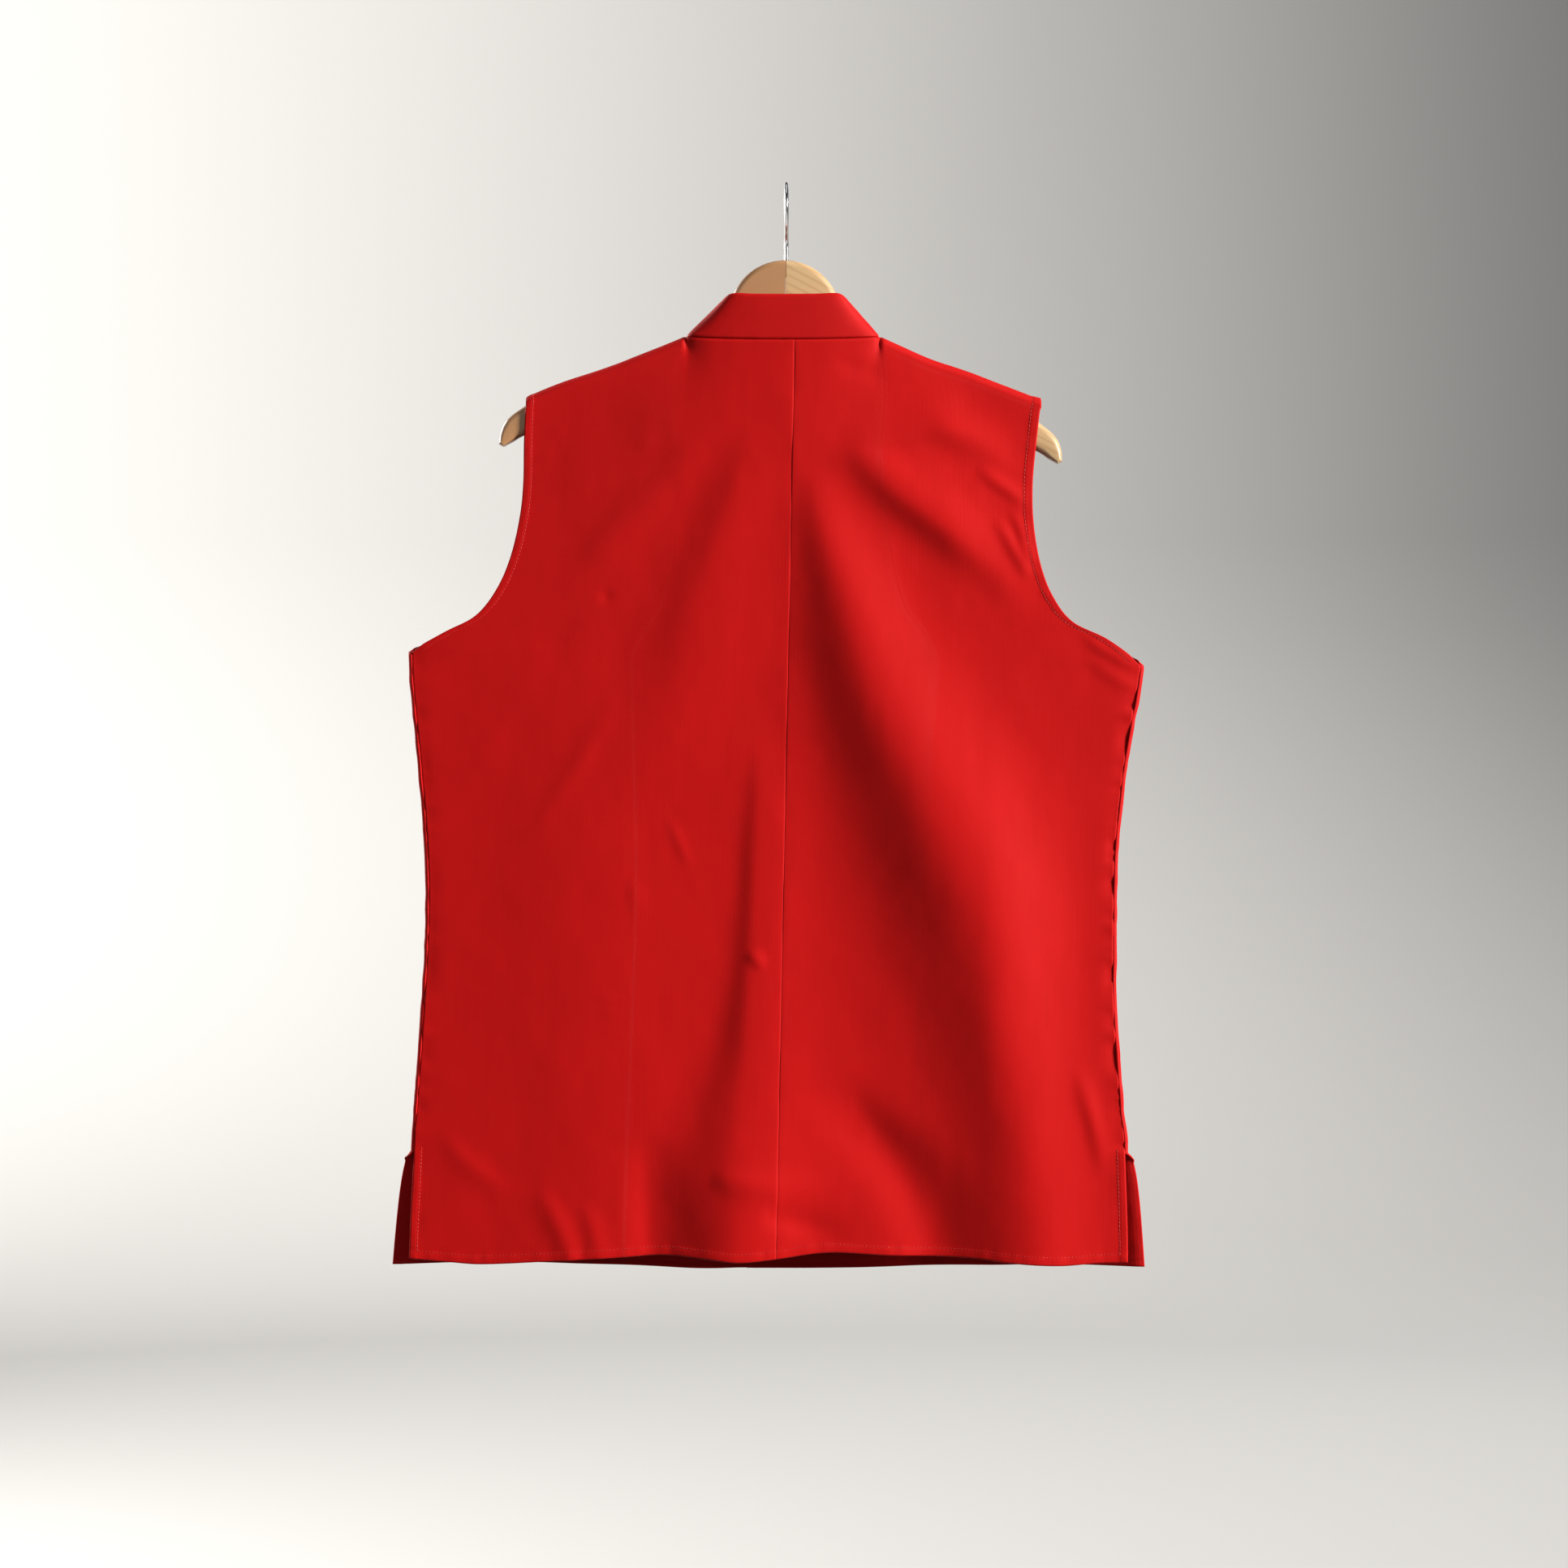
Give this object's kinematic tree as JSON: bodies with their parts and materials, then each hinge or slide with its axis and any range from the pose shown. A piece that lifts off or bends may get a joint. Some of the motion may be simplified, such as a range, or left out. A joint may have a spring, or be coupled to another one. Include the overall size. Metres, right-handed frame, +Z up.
{
  "type": "nehru jacket on a hanger",
  "caption": "Sleeveless cotton jacket with a band collar, a buttoned front and side vents, hanging flat on a swept wooden hanger with a wire hook.",
  "frame": {"origin": "inside top of the hook's bow, on the middle of the wire, where the rod or peg holds it up", "axes": "+Z up, -Y towards the front of the jacket, +X towards the wearer's left"},
  "size_m": [0.5946, 0.0974, 0.8641],
  "materials": {
    "red_cotton": "satin weave with a soft sheen",
    "button_red": "semi gloss",
    "pale_wood": "clear lacquer",
    "chrome": "polished"
  },
  "bodies": {
    "root": {"back_left": "red_cotton", "back_right": "red_cotton", "front_left": "red_cotton", "front_right": "red_cotton", "collar": "red_cotton", "button_1": "button_red", "button_2": "button_red", "button_3": "button_red", "button_4": "button_red", "button_5": "button_red", "hanger_arm_left": "pale_wood", "hanger_arm_right": "pale_wood", "hanger_hook": "chrome"}
  },
  "joints": []
}
